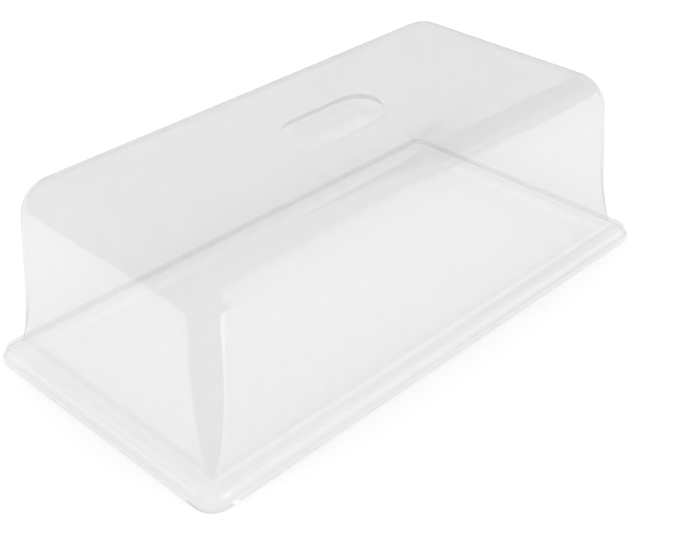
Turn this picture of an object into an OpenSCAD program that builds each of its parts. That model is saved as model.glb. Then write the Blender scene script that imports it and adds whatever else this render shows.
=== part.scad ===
// Humidity dome: one clear sheet formed into a long box-shaped cover that is
// open below. A stepped rim runs round its foot, the corners start sharp at
// the rim and open into large rounds at the top, and the top carries a raised
// oval grip with a shallow dish for the fingers.
// Millimetres. X runs along the length, Y across the width, Z up.
// The origin is under the middle of the dome, on the plane of the lip's foot.

/* [Dome] */
// Length over the lip
dome_length = 558.8; // [450:0.1:640]
// Width over the lip
dome_width = 292.1; // [220:0.1:360]
// Height from the lip's foot to the top panel
dome_height = 177.8; // [130:0.1:220]
// Thickness of the sheet
sheet_t = 0.6; // [0.5:0.1:1.2]

/* [Rim] */
// Height of the lip's upright face, up to the ledge
lip_height = 5.5; // [4:0.5:8]
// Radius of the lip's corners, seen from above
lip_corner_r = 18; // [14:1:30]
// Width of the narrow ledge between the lip and the skirt
ledge_width = 4; // [2:0.5:6]
// Height of the shelf above the lip's foot
shelf_height = 12.5; // [10:0.5:18]
// Distance from the lip's face in to the foot of the wall
rim_width = 17; // [15:0.5:24]
// Radius of the hollow bend between the shelf and the wall
cove_r = 5; // [3:0.5:6]

/* [Walls] */
// Inward lean of the two long walls, in degrees
side_lean = 1.9; // [1:0.1:4]
// Inward lean of the two end walls, in degrees
end_lean = 2.5; // [1:0.1:4]
// Radius of the bend between the walls and the top panel
top_bend_r = 32; // [20:1:33]

/* [Corners] */
// Corner radius that the walls reach high up, seen from above
corner_r = 33.5; // [33:0.5:40]
// Height over which the corners open out from the rim
corner_opening = 34; // [25:1:45]
// Height where each corner's flat facet starts to turn into a round
facet_end = 105; // [80:1:115]
// Height from which a corner is round
round_start = 142; // [120:1:145]

/* [Finger grip] */
// Length of the grip over its crest
grip_length = 104; // [80:1:140]
// Width of the grip over its crest
grip_width = 40; // [36:1:60]
// Height of the crest above the top panel
grip_height = 7; // [4:0.5:10]
// Width of the crest's flat
crest_width = 5; // [3:0.5:7]
// Run of the steep flank outside the crest
flank_run = 4.5; // [3:0.5:6]
// Depth of the dish below the crest
dish_depth = 3; // [1:0.5:3.5]
// Run of the gentle slope from the crest down to the dish's floor
dish_run = 10; // [6:0.5:10]

/* [Hidden] */
$fn = 96;

// Steps along the cove, up the wall, round the top bend and round half a corner
cove_steps = 5;
wall_steps = 11;
bend_steps = 9;
arc_steps = 5;
// The wall's rings crowd towards the rim, where the corners change fastest
wall_crowding = 1.5;
// Share of the full corner radius that each of a facet's two blends takes
facet_blend = 0.3;
round_blend = 0.96;
// Flat border that the wall's sheet keeps beyond the cove, and its cover by the shelf
border = 2;
cover = 1;
// Legs of a facet that touches a corner round of radius 1, and its blends' reach
leg_share = 2 - sqrt(2);
blend_reach = tan(22.5);
clear_below = 1;

// Inset of a wall from the lip's face at height z
function wall_inset(z, lean) = rim_width + (z - shelf_height) * tan(lean);

// Radius of the round that a corner's facet touches at height z
function corner_round(z) = corner_r * (1 - exp((shelf_height - z) / corner_opening));

// Share of that radius in the blends: a flat facet low down, a round high up
function smooth_share(u) = u * u * (3 - 2 * u);
function blend_share(z) =
    let (u = max(0, min(1, (z - facet_end) / (round_start - facet_end))))
    facet_blend + (round_blend - facet_blend) * smooth_share(u);

// One corner in its own quarter: first arc, flat facet, second arc.
// x and y are the walls' distances from the middle, r the round, b the blends.
function corner_points(x, y, r, b) =
    let (
        leg = r * leg_share + b * blend_reach,
        first = [for (i = [0 : arc_steps])
            let (a = 45 * i / arc_steps)
            [x - b + b * cos(a), y - leg + b * sin(a)]],
        second = [for (i = [0 : arc_steps])
            let (a = 45 + 45 * i / arc_steps)
            [x - leg + b * cos(a), y - b + b * sin(a)]]
    )
    concat(first, second);

function flipped(points) = [for (i = [len(points) - 1 : -1 : 0]) points[i]];

// A closed ring round the dome at height z, moved in from the walls by d
function ring(d, z) =
    let (
        x = dome_length / 2 - wall_inset(z, end_lean) - d,
        y = dome_width / 2 - wall_inset(z, side_lean) - d,
        r = corner_round(z) - d,
        quarter = corner_points(x, y, r, r * blend_share(z)),
        back = flipped(quarter)
    )
    concat(
        [for (p = quarter) [p.x, p.y, z]],
        [for (p = back) [-p.x, p.y, z]],
        [for (p = quarter) [-p.x, -p.y, z]],
        [for (p = back) [p.x, -p.y, z]]
    );

// The wall's profile from the shelf to the top as [inset, height] pairs, for the
// face that lies depth inside the outer one
function wall_profile(depth) =
    let (
        low = shelf_height + cove_r,
        high = dome_height - top_bend_r
    )
    concat(
        [[-cove_r - border, shelf_height - depth]],
        [for (i = [0 : cove_steps])
            let (a = 90 * i / cove_steps - 90, r = cove_r + depth)
            [-cove_r + r * cos(a), low + r * sin(a)]],
        [for (i = [1 : wall_steps - 1])
            [depth, low + (high - low) * pow(i / wall_steps, wall_crowding)]],
        [for (i = [0 : bend_steps])
            let (a = 180 - 90 * i / bend_steps, r = top_bend_r - depth)
            [top_bend_r + r * cos(a), high + r * sin(a)]]
    );

function skin_points(depth) = [for (p = wall_profile(depth)) each ring(p[0], p[1])];

// Triangles between neighbouring rings of n points, from point number start
function skin_faces(rings, n, start) = [
    for (k = [0 : rings - 2], i = [0 : n - 1])
        let (
            a = start + k * n + i,
            b = start + k * n + (i + 1) % n,
            c = b + n,
            d = a + n
        )
        each [[a, c, b], [a, d, c]]
];

function turned(faces) = [for (f = faces) flipped(f)];

// The walls, their corners and the top panel: an outer and an inner skin that
// meet at the border of the shelf
module wall_and_top() {
    rings = len(wall_profile(0));
    n = len(ring(0, dome_height));
    count = rings * n;
    outer_top = [for (i = [n - 1 : -1 : 0]) count - n + i];
    inner_top = [for (i = [0 : n - 1]) 2 * count - n + i];
    border_faces = [for (i = [0 : n - 1])
        let (j = (i + 1) % n)
        each [[i, j, count + j], [i, count + j, count + i]]];
    polyhedron(
        points = concat(skin_points(0), skin_points(sheet_t)),
        faces = concat(
            skin_faces(rings, n, 0),
            turned(skin_faces(rings, n, count)),
            border_faces,
            [outer_top],
            [inner_top]
        )
    );
}

// A rectangle with rounded corners, moved in from the lip's face by inset
module outline(inset, r) {
    x = dome_length / 2 - inset - r;
    y = dome_width / 2 - inset - r;
    square([2 * x, 2 * (y + r)], center = true);
    square([2 * (x + r), 2 * y], center = true);
    for (sx = [-1, 1], sy = [-1, 1])
        translate([sx * x, sy * y])
            circle(r);
}

// The rim's two steps as a solid whose faces lie depth inside the sheet's outer ones
module steps(depth) {
    foot = -clear_below * sign(depth);
    lip_in = depth;
    skirt_in = ledge_width + depth;
    translate([0, 0, foot])
        linear_extrude(lip_height - depth - foot)
            outline(lip_in, lip_corner_r - lip_in);
    translate([0, 0, foot])
        linear_extrude(shelf_height - depth - foot)
            outline(skirt_in, lip_corner_r - skirt_in);
}

// Lip, ledge, skirt and shelf
module rim() {
    hole_inset = rim_width - cove_r - cover;
    difference() {
        steps(0);
        steps(sheet_t);
        linear_extrude(shelf_height + clear_below)
            outline(hole_inset, cove_r + cover);
    }
}

// The grip in section from its middle line out, with its faces depth inside the
// sheet's outer ones and its foot carried down by foot_drop
module grip_section(depth, foot_drop) {
    flank_angle = atan(grip_height / flank_run);
    dish_angle = atan(dish_depth / dish_run);
    crest = grip_height - depth;
    outer_edge = grip_width / 2 - depth * tan(flank_angle / 2);
    inner_edge = grip_width / 2 - crest_width + depth * tan(dish_angle / 2);
    foot = outer_edge + flank_run;
    polygon([
        [0, -foot_drop],
        [foot, -foot_drop],
        [foot, -depth],
        [outer_edge, crest],
        [inner_edge, crest],
        [inner_edge - dish_run, crest - dish_depth],
        [0, crest - dish_depth]
    ]);
}

// The grip over the top panel: a straight run between two half rounds
module finger_grip(depth, foot_drop) {
    run = grip_length - grip_width;
    translate([0, 0, dome_height])
        for (turn = [0, 180])
            rotate([0, 0, turn]) {
                translate([run / 2, 0, 0])
                    rotate([0, 0, -90])
                        rotate_extrude(angle = 180)
                            grip_section(depth, foot_drop);
                translate([-run / 2, 0, 0])
                    rotate([90, 0, 90])
                        linear_extrude(run)
                            grip_section(depth, foot_drop);
            }
}

// The whole cover
module dome() {
    color([0.93, 0.94, 0.94, 0.45])
        difference() {
            union() {
                wall_and_top();
                rim();
                finger_grip(0, sheet_t / 2);
            }
            finger_grip(sheet_t, sheet_t + clear_below);
        }
}

dome();
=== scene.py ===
"""Looks of the humidity dome: one thin clear sheet with a slight haze, formed into a long cover.

The sheet is built as rings round the dome, from the lip's foot up the rim, the walls and the top
bend to the panel and its raised grip. Metres, in the same frame as the CAD model.
"""

import math

import bpy
import numpy as np
from mathutils import Matrix, Vector


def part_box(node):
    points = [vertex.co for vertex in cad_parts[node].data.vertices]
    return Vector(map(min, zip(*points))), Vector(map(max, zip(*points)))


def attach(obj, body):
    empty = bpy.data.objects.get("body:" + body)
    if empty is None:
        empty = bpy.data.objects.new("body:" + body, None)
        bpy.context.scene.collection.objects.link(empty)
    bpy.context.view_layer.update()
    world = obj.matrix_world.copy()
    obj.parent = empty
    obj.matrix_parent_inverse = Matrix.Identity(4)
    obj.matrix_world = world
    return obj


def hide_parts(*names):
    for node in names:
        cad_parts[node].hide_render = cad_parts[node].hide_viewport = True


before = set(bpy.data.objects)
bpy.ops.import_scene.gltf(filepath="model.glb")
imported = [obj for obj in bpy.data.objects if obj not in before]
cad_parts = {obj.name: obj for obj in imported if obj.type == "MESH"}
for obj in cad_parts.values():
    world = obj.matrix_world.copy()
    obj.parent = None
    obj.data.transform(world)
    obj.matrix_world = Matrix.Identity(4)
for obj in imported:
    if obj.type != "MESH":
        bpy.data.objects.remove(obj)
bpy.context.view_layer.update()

NODE = "dome"
MM = 0.001

# The sheet's sizes, as the CAD model has them: rim, walls, corners and grip
SHEET = 0.6 * MM
LIP_HEIGHT = 5.5 * MM
LIP_CORNER_R = 18 * MM
LEDGE = 4 * MM
SHELF_HEIGHT = 12.5 * MM
RIM_WIDTH = 17 * MM
COVE_R = 5 * MM
SIDE_LEAN = math.radians(1.9)
END_LEAN = math.radians(2.5)
TOP_BEND_R = 32 * MM
CORNER_R = 33.5 * MM
CORNER_OPENING = 34 * MM
FACET_END = 105 * MM
ROUND_START = 142 * MM
FACET_BLEND = 0.3
ROUND_BLEND = 0.96
GRIP_LENGTH = 104 * MM
GRIP_WIDTH = 40 * MM
GRIP_HEIGHT = 7 * MM
CREST_WIDTH = 5 * MM
FLANK_RUN = 4.5 * MM
DISH_DEPTH = 3 * MM
DISH_RUN = 10 * MM

# Half the length and width over the lip, and the height of the top panel
low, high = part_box(NODE)
HALF_X = (high.x - low.x) / 2
HALF_Y = (high.y - low.y) / 2
TOP = high.z - GRIP_HEIGHT

# Steps along a ring: each long side, each end, each arc of a corner and its facet
SIDE_STEPS = 44
END_STEPS = 22
ARC_STEPS = 9
FACET_STEPS = 4
CORNER_COUNT = 2 * (ARC_STEPS + 1) + FACET_STEPS - 1
RING_COUNT = 4 * CORNER_COUNT + 2 * (SIDE_STEPS - 1) + 2 * (END_STEPS - 1)

# Steps up the sheet: each small bend, the cove, the walls, the top bend and the panel.
# The walls' rings crowd towards the rim and the panel's towards the top bend.
FOLD_R = 1.0 * MM
FOLD_STEPS = 4
COVE_STEPS = 8
WALL_STEPS = 34
WALL_CROWDING = 1.5
BEND_STEPS = 18
PANEL_STEPS = 12
PANEL_CROWDING = 2

# The grip's flat border, the radii of its bends from the foot to the dish, the place of the ring
# on the dish's floor, and the half angle, in degrees, that a tip's points take
GRIP_BORDER = 3 * MM
GRIP_BENDS = (1.6 * MM, 1.6 * MM, 8 * MM, 12 * MM)
FLOOR_RING = 0.4
TIP_ANGLE = 35

# Finish and painted light of the clear plastic on the walls and the top, and at the rim. At the
# rim the higher tint and edge tint and the weaker shine are painted light, which lifts the shade
# that the rim's many layers cast, and its roughness and haze are its finish. A tint is the light
# that one pass lets through, and an edge tint is the share of it that is left where seen edge on.
TINT = 0.885
RIM_PAINTED_LIGHT_TINT = 0.95
EDGE_FROM = 0.8
EDGE_TINT = 0.5
RIM_PAINTED_LIGHT_EDGE_TINT = 0.96
HAZE = 0.12
RIM_HAZE = 0.14
HAZE_COLOUR = 0.93
HAZE_ROUGHNESS = 0.6
SHINE_IOR = 2.0
SHINE_ROUGHNESS = 0.13
RIM_ROUGHNESS = 0.07
RIM_SHINE = 0.8
RIM_FINISH_AND_PAINTED_LIGHT_FROM = 22 * MM

# The grip's painted light and the height over which it sets in: its tint, edge tint and shine,
# and more so its underside's, are set apart from the panel's to even out the light and shade that
# its relief would show. Its edge tint takes the place of the panel's. The rest are shares of the
# panel's values, and on its underside the inside shares come on top. A face whose normal's Z is
# at or below UNDERSIDE_FROM counts wholly as underside.
GRIP_FADE = 1.5 * MM
UNDERSIDE_FROM = -0.3
GRIP_EDGE_TINT = 0.95
GRIP_TINT = 0.95
GRIP_SHINE = 0.4
GRIP_INSIDE_PAINTED_LIGHT = 1.14
GRIP_INSIDE_SHINE = 0.3

# Soft variation: cells per metre, detail, lowest and highest value. The raw noise between the two
# ends of NOISE_SPAN is stretched over those values.
NOISE_SPAN = (0.3, 0.7)
CLOUDS = (9, 2, 0.85, 1.15)
SMEARS = (60, 4, 0.9, 1.1)
WAVES = (10, 2, 0, 1)
WAVE_HEIGHT = 0.4 * MM

# The stage: floor, room, lamps and cards, in metres and watts. The room's light is a strength:
# in all rays but those of the sheet's shine, in the shine's, and as the camera's backdrop.
FLOOR_SIZE = 12
FLOOR_GREY = 0.98
ROOM_LIGHT = 1.0
ROOM_IN_SHINE = 0.5
BACKDROP = 1.0
SOFTBOX_SIZE = 2.4
SOFTBOX_HEIGHT = 2.2
SOFTBOX_POWER = 8
LEFT_LAMP_SIZE = 0.6
LEFT_LAMP_POWER = 0.8
LEFT_LAMP_PLACE = (-1.5, 0.4, 0.6)
LEFT_LAMP_AIM = (-0.2, 0, 0.05)
MATT = 0.9
BLACK = 0.01
WHITE_GLOW = 0.97
GLOW_FADE_END = 0.8
SECTOR_STEPS = 12
SECTOR_REACH = 5.9
SECTOR_INSET = 10 * MM
SECTOR_LIFT = 0.5 * MM

# The camera: angles in degrees, lens in millimetres
CAMERA_AZIMUTH = -44.94
CAMERA_ELEVATION = 33.14
CAMERA_ROLL = -0.89
CAMERA_LENS = 66.1
CAMERA_PLACE = (-0.6869, -0.6938, 0.6616)
CAMERA_CLIP_END = 50

# A ray meets many layers where the sheet is seen edge on, so it may pass this many
LAYERS = 48
BOUNCES = 16


# The sheet's shape

def wall_inset(z, lean):
    """How far in from the lip's face a wall lies at height z."""
    return RIM_WIDTH + (z - SHELF_HEIGHT) * math.tan(lean)


def corner_round(z):
    """Radius of the round that a corner's facet touches at height z."""
    return CORNER_R * (1 - math.exp((SHELF_HEIGHT - z) / CORNER_OPENING))


def blend_share(z):
    """Share of that radius in the facet's blends: a flat facet low down, a round high up."""
    u = min(1.0, max(0.0, (z - FACET_END) / (ROUND_START - FACET_END)))
    return FACET_BLEND + (ROUND_BLEND - FACET_BLEND) * u * u * (3 - 2 * u)


def between(first, last, steps):
    """The points that divide the way from first to last into steps, without both ends."""
    share = np.linspace(0, 1, steps + 1)[1:-1, None]
    return first * (1 - share) + last * share


def corner_points(x, y, r, b):
    """One corner in the +X +Y quarter: an arc, a flat facet and an arc. r is the round that the
    facet touches and b its blends' radius."""
    leg = r * (2 - math.sqrt(2)) + b * math.tan(math.radians(22.5))
    arcs = []
    for cx, cy, start in ((x - b, y - leg, 0), (x - leg, y - b, 45)):
        turn = np.radians(np.linspace(start, start + 45, ARC_STEPS + 1))
        arcs.append(np.stack([cx + b * np.cos(turn), cy + b * np.sin(turn)], 1))
    facet = between(arcs[0][-1], arcs[1][0], FACET_STEPS)
    return np.concatenate([arcs[0], facet, arcs[1]])


def closed_ring(quarter):
    """The whole outline from its +X +Y quarter, anticlockwise, with points along the sides."""
    back = quarter[::-1]
    corners = [quarter, back * (-1, 1), -quarter, back * (1, -1)]
    steps = [SIDE_STEPS, END_STEPS, SIDE_STEPS, END_STEPS]
    points = []
    for i, corner in enumerate(corners):
        points.append(corner)
        points.append(between(corner[-1], corners[(i + 1) % 4][0], steps[i]))
    return np.concatenate(points)


def at_height(outline, z):
    """An outline's points at height z."""
    return np.column_stack([outline, np.full(RING_COUNT, z)])


def rim_ring(inset, z):
    """A ring of the rim: a rectangle with round corners, inset from the lip's face."""
    r = LIP_CORNER_R - inset
    quarter = corner_points(HALF_X - inset, HALF_Y - inset, r, r * ROUND_BLEND)
    return at_height(closed_ring(quarter), z)


def wall_ring(d, z):
    """A ring of the walls at height z, moved in from them by d."""
    r = corner_round(z) - d
    x = HALF_X - wall_inset(z, END_LEAN) - d
    y = HALF_Y - wall_inset(z, SIDE_LEAN) - d
    return at_height(closed_ring(corner_points(x, y, r, r * blend_share(z))), z)


def fold(corner, before, after, r=FOLD_R):
    """Points round a small bend at corner, between the directions from and to it, in the
    (inset, height) plane."""
    corner, before, after = (np.array(v, float) for v in (corner, before, after))
    a = (before - corner) / np.linalg.norm(before - corner)
    b = (after - corner) / np.linalg.norm(after - corner)
    half = math.acos(float(a @ b)) / 2
    reach = r / math.tan(half)
    centre = corner + (a + b) / np.linalg.norm(a + b) * r / math.sin(half)
    start = corner + a * reach - centre
    end = corner + b * reach - centre
    turn = math.pi - 2 * half
    points = []
    for i in range(FOLD_STEPS + 1):
        u = i / FOLD_STEPS
        spoke = math.sin((1 - u) * turn) * start + math.sin(u * turn) * end
        points.append(centre + spoke / math.sin(turn))
    return points


def rim_profile():
    """The rim in section as (inset, height) from the lip's foot up to the shelf's inner edge."""
    foot = (0, 0)
    lip = (0, LIP_HEIGHT)
    ledge = (LEDGE, LIP_HEIGHT)
    skirt = (LEDGE, SHELF_HEIGHT)
    shelf = (RIM_WIDTH - COVE_R, SHELF_HEIGHT)
    return ([foot, (0, LIP_HEIGHT / 2)] + fold(lip, foot, ledge) + fold(ledge, lip, skirt)
            + fold(skirt, ledge, shelf))


def wall_profile():
    """The walls in section as (move in from the wall, height), from the cove to the panel."""
    foot = SHELF_HEIGHT + COVE_R
    shoulder = TOP - TOP_BEND_R
    points = []
    for i in range(COVE_STEPS + 1):
        a = math.radians(90 * i / COVE_STEPS - 90)
        points.append((-COVE_R + COVE_R * math.cos(a), foot + COVE_R * math.sin(a)))
    for i in range(1, WALL_STEPS):
        points.append((0, foot + (shoulder - foot) * (i / WALL_STEPS) ** WALL_CROWDING))
    for i in range(BEND_STEPS + 1):
        a = math.radians(180 - 90 * i / BEND_STEPS)
        points.append((TOP_BEND_R * (1 + math.cos(a)), shoulder + TOP_BEND_R * math.sin(a)))
    return points


def stadium(half_run, r):
    """A stadium outline whose points match a ring's, with each tip's points on its arc."""
    def end_arc(start, end, count):
        turn = np.radians(np.linspace(start, end, count))
        return np.column_stack([half_run + r * np.cos(turn), r * np.sin(turn)])

    quarter = end_arc(TIP_ANGLE, 90, CORNER_COUNT)
    tip = end_arc(-TIP_ANGLE, TIP_ANGLE, END_STEPS + 1)[1:-1]
    side = between(quarter[-1], quarter[-1] * (-1, 1), SIDE_STEPS)
    back = quarter[::-1]
    return np.concatenate([quarter, side, back * (-1, 1), tip[::-1] * (-1, 1), -quarter,
                           side * -1, back * (1, -1), tip])


def grip_profile():
    """The grip in section as (distance from its middle line, height over the panel), from its foot
    over the crest to the dish's floor."""
    edge = GRIP_WIDTH / 2
    inner = edge - CREST_WIDTH
    floor = inner - DISH_RUN
    floor_height = GRIP_HEIGHT - DISH_DEPTH
    section = [(edge + FLANK_RUN + GRIP_BORDER, 0), (edge + FLANK_RUN, 0), (edge, GRIP_HEIGHT),
               (inner, GRIP_HEIGHT), (floor, floor_height), (0, floor_height)]
    points = [section[0]]
    for i, r in enumerate(GRIP_BENDS, 1):
        points += fold(section[i], section[i - 1], section[i + 1], r)
    points.append((floor * FLOOR_RING, floor_height))
    return points


def sheet_rings():
    """The rings of the whole sheet from the lip's foot to the dish's floor."""
    rings = [rim_ring(inset, z) for inset, z in rim_profile()]
    rings += [wall_ring(d, z) for d, z in wall_profile()]
    edge = rings[-1]
    half_run = (GRIP_LENGTH - GRIP_WIDTH) / 2
    grip = [at_height(stadium(half_run, r), TOP + up) for r, up in grip_profile()]
    for i in range(1, PANEL_STEPS):
        u = (i / PANEL_STEPS) ** PANEL_CROWDING
        rings.append(edge * (1 - u) + grip[0] * u)
    return rings + grip


def make_sheet():
    """The sheet as one closed shell of its real thickness."""
    rings = sheet_rings()
    n = RING_COUNT
    faces = []
    for k in range(len(rings) - 1):
        for i in range(n):
            j = (i + 1) % n
            faces.append((k * n + i, k * n + j, (k + 1) * n + j, (k + 1) * n + i))
    faces.append([(len(rings) - 1) * n + i for i in range(n)])
    mesh = bpy.data.meshes.new("dome_sheet")
    mesh.from_pydata(np.concatenate(rings).tolist(), [], faces)
    mesh.validate()
    mesh.shade_smooth()
    piece = bpy.data.objects.new("dome_sheet", mesh)
    bpy.context.scene.collection.objects.link(piece)
    solid = piece.modifiers.new("sheet", "SOLIDIFY")
    solid.thickness = SHEET
    solid.offset = -1
    solid.use_even_offset = True
    return piece


# Nodes of a material

def add(nt, kind, **values):
    """A node of that kind. Each value names an input: a number or colour sets it, and another
    node's output is linked to it."""
    node = nt.nodes.new("ShaderNode" + kind)
    for name, value in values.items():
        socket = node.inputs[name.replace("_", " ")]
        if isinstance(value, bpy.types.NodeSocket):
            nt.links.new(value, socket)
        else:
            socket.default_value = value
    return node


def mix(nt, share, first, second):
    """Mix Shader of two shaders' outputs; share is a number or an output."""
    node = nt.nodes.new("ShaderNodeMixShader")
    if isinstance(share, float):
        node.inputs[0].default_value = share
    else:
        nt.links.new(share, node.inputs[0])
    nt.links.new(first, node.inputs[1])
    nt.links.new(second, node.inputs[2])
    return node.outputs[0]


def ramp(nt, value, start, end, first, last):
    """A smooth change from first to last while value goes from start to end."""
    node = add(nt, "MapRange", Value=value, From_Min=start, From_Max=end, To_Min=first, To_Max=last)
    node.interpolation_type = "SMOOTHSTEP"
    return node.outputs["Result"]


def combined(nt, operation, first, second):
    """The result of a Math node on two outputs."""
    node = nt.nodes.new("ShaderNodeMath")
    node.operation = operation
    nt.links.new(first, node.inputs[0])
    nt.links.new(second, node.inputs[1])
    return node.outputs[0]


def product(nt, *factors):
    """All factors multiplied."""
    result = factors[0]
    for factor in factors[1:]:
        result = combined(nt, "MULTIPLY", result, factor)
    return result


def noise(nt, place, kind):
    """Soft noise over the object; kind is its scale, detail, lowest and highest value."""
    scale, detail, lowest, highest = kind
    node = add(nt, "TexNoise", Vector=place, Scale=scale, Detail=detail)
    return ramp(nt, node.outputs["Fac"], *NOISE_SPAN, lowest, highest)


def part_of(nt, vector, axis):
    """One component of a vector output."""
    return add(nt, "SeparateXYZ", Vector=vector).outputs[axis]


# The sheet's material

def from_wall_to_rim(nt, height, wall, rim):
    """A value that goes from the walls' to the rim's on the way down."""
    return ramp(nt, height, RIM_FINISH_AND_PAINTED_LIGHT_FROM, SHELF_HEIGHT, wall, rim)


def inside(nt, mask, outside, within):
    """A value that goes from outside to within as the mask goes from 0 to 1."""
    return ramp(nt, mask, 0.0, 1.0, outside, within)


def edge_darkening(nt, height, at_grip):
    """1 where the sheet is seen face on, less where it is seen edge on."""
    weight = add(nt, "LayerWeight", Blend=0.5)
    # Painted light: the rim and the grip darken less where seen edge on, which lifts the shade along
    # their folds.
    rim_tint = from_wall_to_rim(nt, height, EDGE_TINT, RIM_PAINTED_LIGHT_EDGE_TINT)
    grip_tint = inside(nt, at_grip, EDGE_TINT, GRIP_EDGE_TINT)
    darkest = combined(nt, "MAXIMUM", rim_tint, grip_tint)
    return ramp(nt, weight.outputs["Facing"], EDGE_FROM, 1.0, 1.0, darkest)


def forming_waves(nt, place):
    """The normal of a sheet that is slightly wavy from forming."""
    wave = noise(nt, place, WAVES)
    return add(nt, "Bump", Height=wave, Distance=WAVE_HEIGHT, Strength=1.0).outputs["Normal"]


def cloudy_plastic(nt):
    """White haze that sends half of its light back and half through."""
    white = (HAZE_COLOUR, HAZE_COLOUR, HAZE_COLOUR, 1)
    back = add(nt, "BsdfPrincipled", Base_Color=white, Roughness=HAZE_ROUGHNESS,
               Specular_IOR_Level=0.0)
    through = add(nt, "BsdfTranslucent", Color=white)
    return mix(nt, 0.5, back.outputs[0], through.outputs[0])


def clear_plastic():
    """A thin clear sheet: what is behind it shows through with a slight tint and haze, and its
    outer faces mirror more towards grazing angles. Rays pass its back faces freely, so each
    crossing of the sheet counts once."""
    mat = bpy.data.materials.new("clear_plastic")
    mat.use_nodes = True
    nt = mat.node_tree
    nt.nodes.clear()
    place = add(nt, "TexCoord").outputs["Object"]
    geometry = add(nt, "NewGeometry")
    height = part_of(nt, place, "Z")
    at_grip = ramp(nt, height, TOP, TOP + GRIP_FADE, 0.0, 1.0)
    upward = part_of(nt, geometry.outputs["Normal"], "Z")
    under_grip = product(nt, at_grip, ramp(nt, upward, UNDERSIDE_FROM, 0.0, 1.0, 0.0))
    edge = edge_darkening(nt, height, at_grip)
    smear = noise(nt, place, SMEARS)
    normal = forming_waves(nt, place)

    # Painted light: the rim's clearer tint lifts the shade of its many layers, and the grip's tint
    # and its underside's even out the light and shade of its relief.
    tint = product(nt, from_wall_to_rim(nt, height, TINT, RIM_PAINTED_LIGHT_TINT),
                   inside(nt, at_grip, 1.0, GRIP_TINT),
                   inside(nt, under_grip, 1.0, GRIP_INSIDE_PAINTED_LIGHT), edge)
    clear = add(nt, "BsdfTransparent", Color=tint)
    haze = product(nt, from_wall_to_rim(nt, height, HAZE, RIM_HAZE), smear,
                   noise(nt, place, CLOUDS))
    body = mix(nt, haze, clear.outputs[0], cloudy_plastic(nt))

    roughness = product(nt, from_wall_to_rim(nt, height, SHINE_ROUGHNESS, RIM_ROUGHNESS), smear)
    shine = add(nt, "BsdfGlossy", Color=edge, Roughness=roughness, Normal=normal)
    fresnel = add(nt, "Fresnel", IOR=SHINE_IOR, Normal=normal)
    # Painted light: the rim and the grip shine less than the walls and the panel, which tones down
    # the reflections on their folds and relief.
    share = product(nt, fresnel.outputs[0], from_wall_to_rim(nt, height, 1.0, RIM_SHINE),
                    inside(nt, at_grip, 1.0, GRIP_SHINE),
                    inside(nt, under_grip, 1.0, GRIP_INSIDE_SHINE))
    front = mix(nt, share, body, shine.outputs[0])
    free = add(nt, "BsdfTransparent", Color=(1, 1, 1, 1))
    surface = mix(nt, geometry.outputs["Backfacing"], front, free.outputs[0])
    add(nt, "OutputMaterial", Surface=surface)
    return mat


# The stage

def make_floor():
    """A wide pale floor without gloss."""
    bpy.ops.mesh.primitive_plane_add(size=FLOOR_SIZE)
    floor = bpy.context.object
    floor.name = "floor"
    mat = bpy.data.materials.new("floor")
    mat.use_nodes = True
    b = mat.node_tree.nodes["Principled BSDF"]
    b.inputs["Base Color"].default_value = (FLOOR_GREY, FLOOR_GREY, FLOOR_GREY, 1)
    b.inputs["Roughness"].default_value = MATT
    b.inputs["Specular IOR Level"].default_value = 0.0
    floor.data.materials.append(mat)


def make_camera():
    """A camera above the corner at minus X and minus Y, looking down at the dome."""
    azimuth = math.radians(CAMERA_AZIMUTH)
    elevation = math.radians(CAMERA_ELEVATION)
    roll = math.radians(CAMERA_ROLL)
    back = Vector((math.sin(azimuth) * math.cos(elevation), -math.cos(azimuth) * math.cos(elevation),
                   math.sin(elevation)))
    right = Vector((0, 0, 1)).cross(back).normalized()
    up = back.cross(right)
    turned_right = right * math.cos(roll) + up * math.sin(roll)
    turned_up = up * math.cos(roll) - right * math.sin(roll)
    data = bpy.data.cameras.new("camera")
    data.lens = CAMERA_LENS
    data.clip_end = CAMERA_CLIP_END
    camera = bpy.data.objects.new("camera", data)
    bpy.context.scene.collection.objects.link(camera)
    turn = Matrix((turned_right, turned_up, back)).transposed()
    camera.matrix_world = Matrix.Translation(CAMERA_PLACE) @ turn.to_4x4()
    bpy.context.scene.camera = camera


def make_room():
    """A white room: its backdrop is full white, and the sheet's shine shows it dimmer."""
    world = bpy.data.worlds.new("world")
    world.use_nodes = True
    nt = world.node_tree
    path = add(nt, "LightPath")
    dim = add(nt, "MapRange", Value=path.outputs["Is Glossy Ray"], To_Min=ROOM_LIGHT,
              To_Max=ROOM_IN_SHINE)
    level = add(nt, "MapRange", Value=path.outputs["Is Camera Ray"],
                To_Min=dim.outputs["Result"], To_Max=BACKDROP)
    background = nt.nodes["Background"]
    background.inputs["Color"].default_value = (1, 1, 1, 1)
    nt.links.new(level.outputs["Result"], background.inputs["Strength"])
    bpy.context.scene.world = world


def make_lamp(name, size, power, place):
    """A square lamp, facing down, that the sheet's shine doesn't show."""
    data = bpy.data.lights.new(name, "AREA")
    data.shape = "SQUARE"
    data.size = size
    data.energy = power
    lamp = bpy.data.objects.new(name, data)
    lamp.location = place
    lamp.visible_glossy = False
    bpy.context.scene.collection.objects.link(lamp)
    return lamp


def make_lamps():
    """A large softbox overhead and a small lamp low on the left."""
    make_lamp("softbox", SOFTBOX_SIZE, SOFTBOX_POWER, (0, 0, SOFTBOX_HEIGHT))
    left = make_lamp("left_lamp", LEFT_LAMP_SIZE, LEFT_LAMP_POWER, LEFT_LAMP_PLACE)
    aim = Vector(LEFT_LAMP_AIM) - Vector(LEFT_LAMP_PLACE)
    left.rotation_euler = aim.to_track_quat("-Z", "Y").to_euler()


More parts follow.
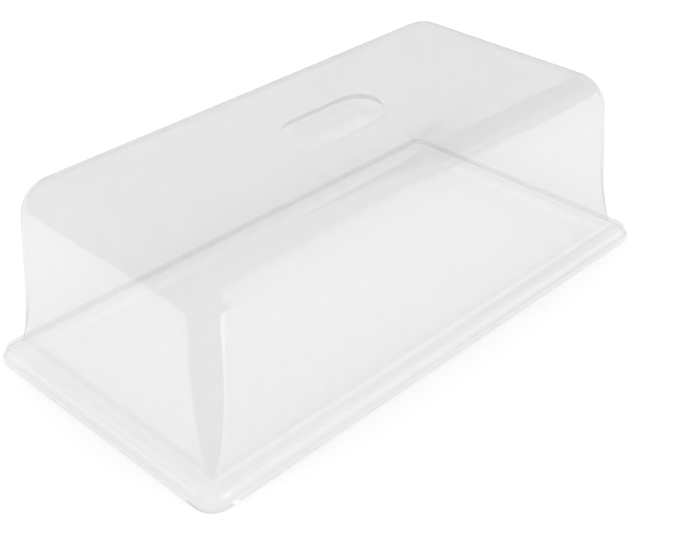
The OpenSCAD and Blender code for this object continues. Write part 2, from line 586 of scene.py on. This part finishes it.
def make_cards():
    """Light and dark cards round the set that only the sheet's shine shows: painted reflections,
    since they light nothing and cast no shadow. The facet's dark reflection paints the front
    corner's facet dark, and the glint sector paints a highlight line at the facet's right edge.
    """
    # Painted reflections: the glowing cards put bright ones into the sheet and the grey and black
    # cards dark ones; none of them lights the set or casts a shadow.
    make_card("white_card", azimuth=-47, distance=1.8, foot=0.0, head=0.75, width=2.2,
              grey=BLACK, glow=WHITE_GLOW)
    make_card("glow_card", azimuth=-62, distance=1.8, foot=0.75, head=1.9, width=1.9,
              grey=BLACK, glow=WHITE_GLOW, glow_above=0.75)
    make_card("grey_card", azimuth=-22, distance=1.9, foot=0.7, head=1.6, width=1.2, grey=0.25)
    make_card("black_card", azimuth=9, distance=1.6, foot=1.1, head=1.95, width=1.85, grey=BLACK)
    # Painted reflections in the front corner's facet: the grey sector darkens it, and the glowing
    # glint sector draws a highlight line along its right edge.
    make_sector("facet_dark_reflection", start=176, end=262, grey=0.45)
    make_sector("glint_sector", start=262, end=274, grey=BLACK, glow=1.7)


def make_sector(name, start, end, grey, glow=0):
    """A flat card on the floor that fans out from the foot of the front corner between two
    directions in degrees."""
    inset = RIM_WIDTH + SECTOR_INSET
    corner = Vector((inset - HALF_X, inset - HALF_Y, SECTOR_LIFT))
    points = [corner]
    for i in range(SECTOR_STEPS + 1):
        turn = math.radians(start + (end - start) * i / SECTOR_STEPS)
        points.append(corner + Vector((math.cos(turn), math.sin(turn), 0)) * SECTOR_REACH)
    mesh = bpy.data.meshes.new(name)
    mesh.from_pydata(points, [], [tuple(range(len(points)))])
    card = bpy.data.objects.new(name, mesh)
    bpy.context.scene.collection.objects.link(card)
    finish_card(card, grey, glow)


def make_card(name, azimuth, distance, foot, head, width, grey, glow=0, glow_above=None):
    """A card that stands round the set, turned to its middle, from foot to head in height."""
    turn = math.radians(azimuth)
    bpy.ops.mesh.primitive_plane_add(size=1)
    card = bpy.context.object
    card.name = name
    card.scale = (width, head - foot, 1)
    card.rotation_euler = (math.radians(90), 0, turn + math.radians(90))
    card.location = (distance * math.cos(turn), distance * math.sin(turn), (foot + head) / 2)
    finish_card(card, grey, glow, glow_above)


def finish_card(card, grey, glow, glow_above=None):
    """A matt grey that glows, evenly or with a change towards glow_above at the card's head."""
    card.visible_camera = False
    card.visible_shadow = False
    card.visible_diffuse = False
    card.visible_transmission = False
    mat = bpy.data.materials.new(card.name)
    mat.use_nodes = True
    nt = mat.node_tree
    b = nt.nodes["Principled BSDF"]
    b.inputs["Base Color"].default_value = (grey, grey, grey, 1)
    b.inputs["Emission Color"].default_value = (1, 1, 1, 1)
    b.inputs["Emission Strength"].default_value = glow
    b.inputs["Roughness"].default_value = MATT
    if glow_above is not None:
        up = part_of(nt, add(nt, "TexCoord").outputs["Generated"], "Y")
        strength = ramp(nt, up, 0.0, GLOW_FADE_END, glow, glow_above)
        nt.links.new(strength, b.inputs["Emission Strength"])
    card.data.materials.append(mat)


def set_rendering():
    """Plain colours, and enough bounces for the sheet's many layers."""
    scene = bpy.context.scene
    scene.view_settings.view_transform = "Standard"
    scene.cycles.transparent_max_bounces = LAYERS
    scene.cycles.max_bounces = BOUNCES


make_camera()
make_floor()
make_room()
make_lamps()
make_cards()
set_rendering()
sheet = make_sheet()
sheet.data.materials.append(clear_plastic())
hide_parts(NODE)
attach(sheet, "root")
